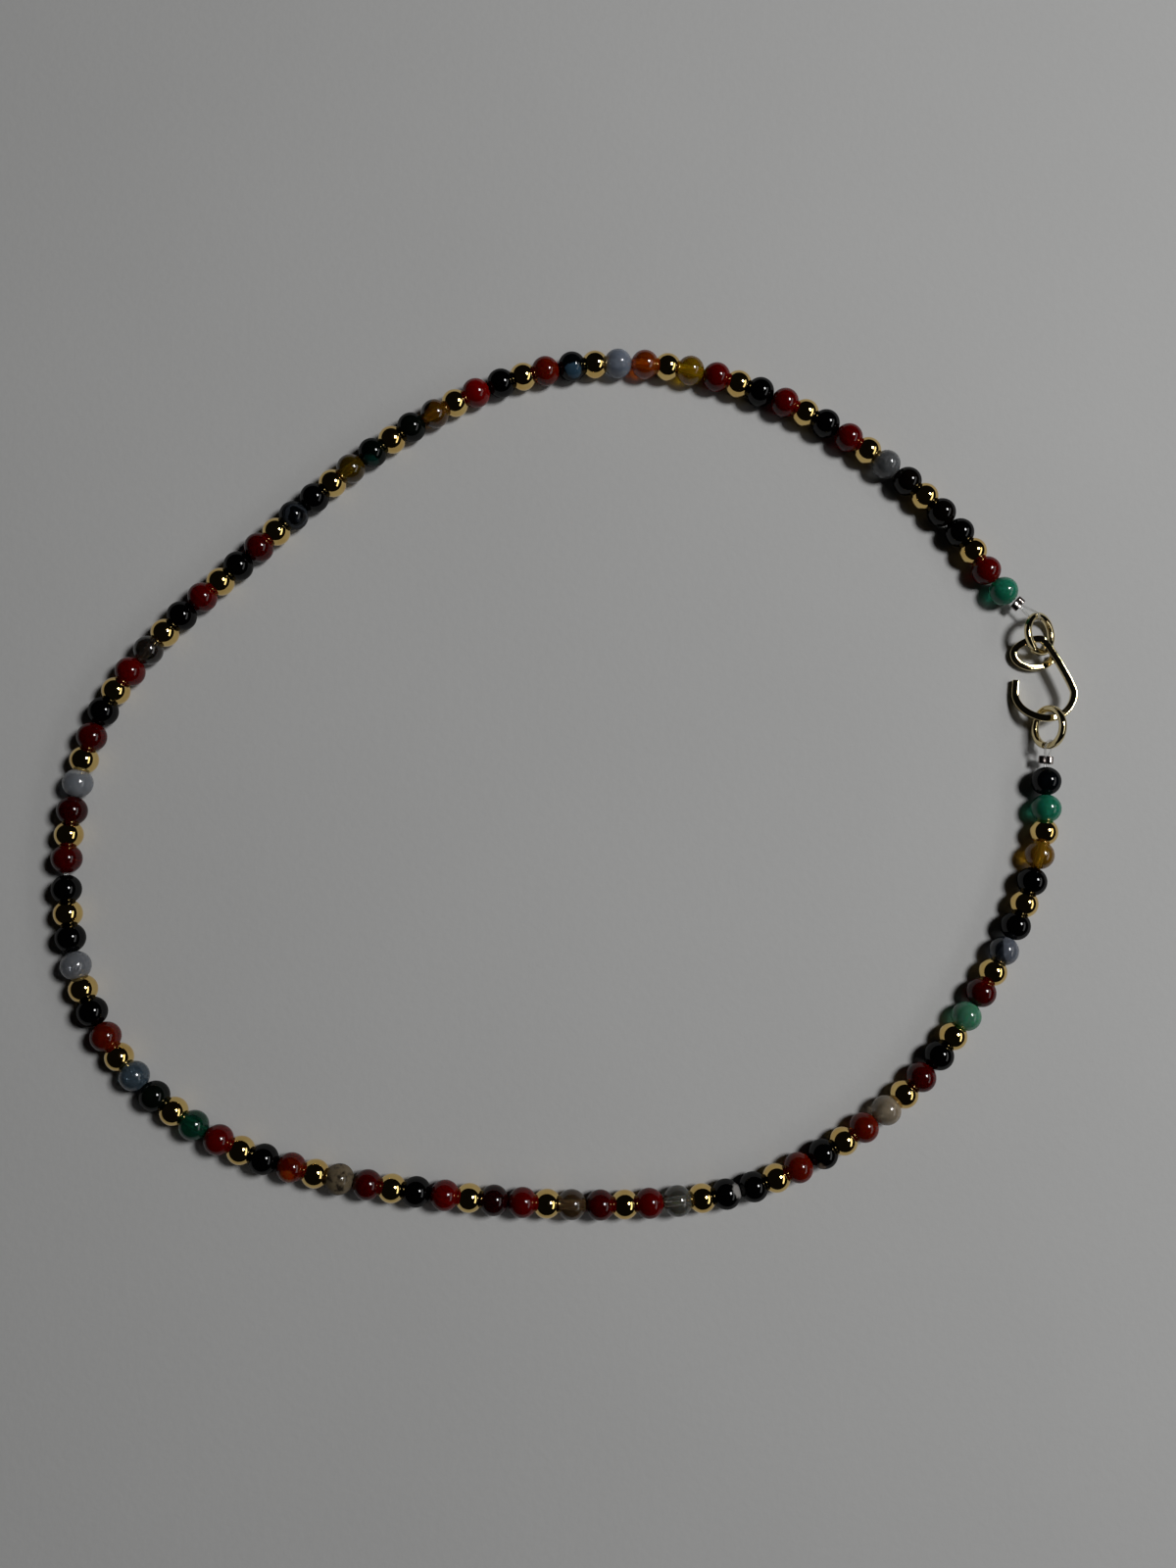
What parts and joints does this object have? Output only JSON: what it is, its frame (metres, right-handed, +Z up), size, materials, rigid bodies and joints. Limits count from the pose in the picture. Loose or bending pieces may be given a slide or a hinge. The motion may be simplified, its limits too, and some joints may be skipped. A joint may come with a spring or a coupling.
{
  "type": "beaded necklace",
  "caption": "Short necklace of small round mixed-colour stone beads with single gold beads between, closed by a bent wire hook on jump rings and lying as a loose loop.",
  "frame": {"origin": "centre of the necklace's outline as it lies, on the surface that it lies on", "axes": "+Z up from the surface, +X across the loop towards the clasp, +Y along the clasp towards its eye"},
  "size_m": [0.147, 0.1259, 0.0059],
  "materials": {
    "stone": "polished agate and onyx beads in dark red, black, amber, green, grey and blue-grey",
    "gold": "polished gold-coloured metal, paler on the clasp than on the beads",
    "crimp_metal": "squeezed silver-coloured metal",
    "clear_thread": "clear nylon thread"
  },
  "bodies": {
    "root": {"bead_string_upper": "stone", "bead_string_lower": "stone", "crimp_upper": "crimp_metal", "crimp_lower": "crimp_metal", "thread_loop_upper": "clear_thread", "thread_loop_lower": "clear_thread", "jump_ring_upper": "gold", "jump_ring_lower": "gold", "hook_clasp": "gold"}
  },
  "joints": []
}
